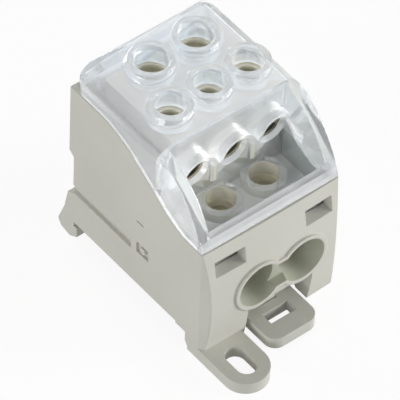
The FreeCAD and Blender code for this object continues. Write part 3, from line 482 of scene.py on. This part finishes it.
# Clamping screws
# Hexagon socket set screws of zinc-plated steel, seven in three rows. Each is turned as rings
# about its axis, and a node group winds the thread's ridge round the core.
# The plating glints in small patches; its spangle is about 1 mm across.
zinc, tree = new_material("zinc-plated steel")
place = add_node(tree, "ShaderNodeTexCoord").outputs["Object"]
spangle = add_node(tree, "ShaderNodeTexNoise", None, {"Scale": metre / 1, "Detail": 3.0},
                   {"Vector": place})
tint = add_node(tree, "ShaderNodeMix", {"data_type": "RGBA"},
                {"A": linear("#CFCAB8"), "B": linear("#B7B2A0")},
                {"Factor": spangle.outputs["Fac"]})
rough = add_node(tree, "ShaderNodeMapRange", None, {"To Min": 0.28, "To Max": 0.48},
                 {"Value": spangle.outputs["Fac"]})
shader = add_node(tree, "ShaderNodeBsdfPrincipled", None, {"Metallic": 1.0},
                  {"Base Color": tint.outputs["Result"], "Roughness": rough.outputs["Result"]})
add_node(tree, "ShaderNodeOutputMaterial", None, None, {"Surface": shader.outputs[0]})


def thread_group():
    """Winds a ridge of square section, on edge, round an upright axis and joins it to a core."""
    tree = bpy.data.node_groups.new("wound_thread", "GeometryNodeTree")
    face = tree.interface
    face.new_socket("Geometry", in_out="INPUT", socket_type="NodeSocketGeometry")
    for name in ("Core Radius", "Ridge", "Height", "Turns"):
        face.new_socket(name, in_out="INPUT", socket_type="NodeSocketFloat")
    face.new_socket("Foot", in_out="INPUT", socket_type="NodeSocketVector")
    face.new_socket("Finish", in_out="INPUT", socket_type="NodeSocketMaterial")
    face.new_socket("Geometry", in_out="OUTPUT", socket_type="NodeSocketGeometry")
    given = add_node(tree, "NodeGroupInput").outputs
    helix = add_node(tree, "GeometryNodeCurveSpiral", None, {"Resolution": 40},
                     {"Rotations": given["Turns"], "Start Radius": given["Core Radius"],
                      "End Radius": given["Core Radius"], "Height": given["Height"]})
    section = add_node(tree, "GeometryNodeCurvePrimitiveCircle", {"mode": "RADIUS"},
                       {"Resolution": 4}, {"Radius": given["Ridge"]})
    ridge = add_node(tree, "GeometryNodeCurveToMesh", None, {"Fill Caps": True},
                     {"Curve": helix.outputs[0], "Profile Curve": section.outputs[0]})
    placed = add_node(tree, "GeometryNodeTransform", None, None,
                      {"Geometry": ridge.outputs[0], "Translation": given["Foot"]})
    joined = add_node(tree, "GeometryNodeJoinGeometry")
    tree.links.new(placed.outputs[0], joined.inputs[0])
    tree.links.new(given["Geometry"], joined.inputs[0])
    real = add_node(tree, "GeometryNodeRealizeInstances", None, None,
                    {"Geometry": joined.outputs[0]})
    finished = add_node(tree, "GeometryNodeSetMaterial", None, None,
                        {"Geometry": real.outputs[0], "Material": given["Finish"]})
    add_node(tree, "NodeGroupOutput", None, None, {"Geometry": finished.outputs[0]})
    return tree


def apply_group(piece, tree, values):
    """Runs a node group on a piece once and leaves its result as the piece's own mesh."""
    modifier = piece.modifiers.new(tree.name, "NODES")
    modifier.node_group = tree
    for item in tree.interface.items_tree:
        if item.in_out == "INPUT" and item.name in values:
            modifier[item.identifier] = values[item.name]
    graph = bpy.context.evaluated_depsgraph_get()
    made = bpy.data.meshes.new_from_object(piece.evaluated_get(graph))
    piece.modifiers.clear()
    piece.data = made


def circle(radius):
    """Outline of a round ring: its radius at any angle."""
    return lambda angle: radius


def hexagon(flat):
    """Outline of a hexagon whose flats lie at a distance from the axis."""
    side = math.pi / 3
    return lambda angle: flat / math.cos((angle + side / 2) % side - side / 2)


def screw_core(name, axis, rings):
    """Mesh turned from rings, pairs of outline and height, closed at both ends, in metres."""
    sides = 48
    angles = [2 * math.pi * i / sides for i in range(sides)]
    shape = bmesh.new()
    loops = [[shape.verts.new((axis.x + outline(a) * math.cos(a),
                               axis.y + outline(a) * math.sin(a), z)) for a in angles]
             for outline, z in rings]
    shape.faces.new(list(reversed(loops[0])))
    shape.faces.new(loops[-1])
    for lower, upper in zip(loops[:-1], loops[1:]):
        for i in range(sides):
            k = (i + 1) % sides
            shape.faces.new((lower[i], lower[k], upper[k], upper[i]))
    mesh = bpy.data.meshes.new(name)
    shape.to_mesh(mesh)
    shape.free()
    return mesh


# width of the socket across its flats, pitch and height of the ridge, in metres; the front and
# rear screws, over 7 mm wide, are the large ones
large_sizes = (0.004, 0.00125, 0.00042)
small_sizes = (0.003, 0.001, 0.00034)
large_from = 0.007
tip = 0.001
edge = 0.0003
# depth of a socket as a share of its width
socket_share = 0.6
thread = thread_group()
for name in screw_boxes:
    low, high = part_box(name)
    axis = (low + high) / 2
    socket, pitch, ridge = large_sizes if high.x - low.x > large_from else small_sizes
    core = (high.x - low.x) / 2 - ridge
    # upwards from the cut tip, over the rim and down to the floor of the socket
    rings = [(circle(core - tip), low.z), (circle(core), low.z + tip),
             (circle(core), high.z - edge), (circle(core - edge), high.z),
             (hexagon(socket / 2), high.z),
             (hexagon(socket / 2), high.z - socket_share * socket)]
    screw = bpy.data.objects.new("threaded_" + name, screw_core(name + "_core", axis, rings))
    bpy.context.scene.collection.objects.link(screw)
    height = high.z - low.z - tip - 2 * ridge - edge
    apply_group(screw, thread, {"Core Radius": core, "Ridge": ridge, "Height": height,
                                "Turns": height / pitch, "Finish": zinc,
                                "Foot": (axis.x, axis.y, low.z + tip + ridge)})
    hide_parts(name)
    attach(screw, name)


# Latch spring
# A folded strip of cold-rolled spring steel, bright from the rolls. It lies in the window of the
# latch, and is drawn in one shape, carried with the base.
# Cold bright grey; the fine streaks of the rolls are drawn 0.3 mm wide so that they show.
strip, tree = new_material("rolled spring strip")
place = add_node(tree, "ShaderNodeTexCoord").outputs["Object"]
scratches = add_node(tree, "ShaderNodeTexNoise", None, {"Scale": metre / 0.3, "Detail": 2.0},
                     {"Vector": place})
rough = add_node(tree, "ShaderNodeMapRange", None, {"To Min": 0.18, "To Max": 0.38},
                 {"Value": scratches.outputs["Fac"]})
shader = add_node(tree, "ShaderNodeBsdfPrincipled", None,
                  {"Metallic": 1.0, "Base Color": linear("#A9ABAD")},
                  {"Roughness": rough.outputs["Result"]})
add_node(tree, "ShaderNodeOutputMaterial", None, None, {"Surface": shader.outputs[0]})

spring = bpy.data.objects.new("folded_latch_spring", nodes["latch_spring"].data.copy())
bpy.context.scene.collection.objects.link(spring)
# corners of loose triangles closer than this are one
same_point = 0.000001
shape = bmesh.new()
shape.from_mesh(spring.data)
bmesh.ops.remove_doubles(shape, verts=shape.verts, dist=same_point)
shape.to_mesh(spring.data)
shape.free()
spring.data.materials.clear()
spring.data.materials.append(strip)
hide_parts("latch_spring")
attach(spring, "base")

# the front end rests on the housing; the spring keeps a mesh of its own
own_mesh(spring)
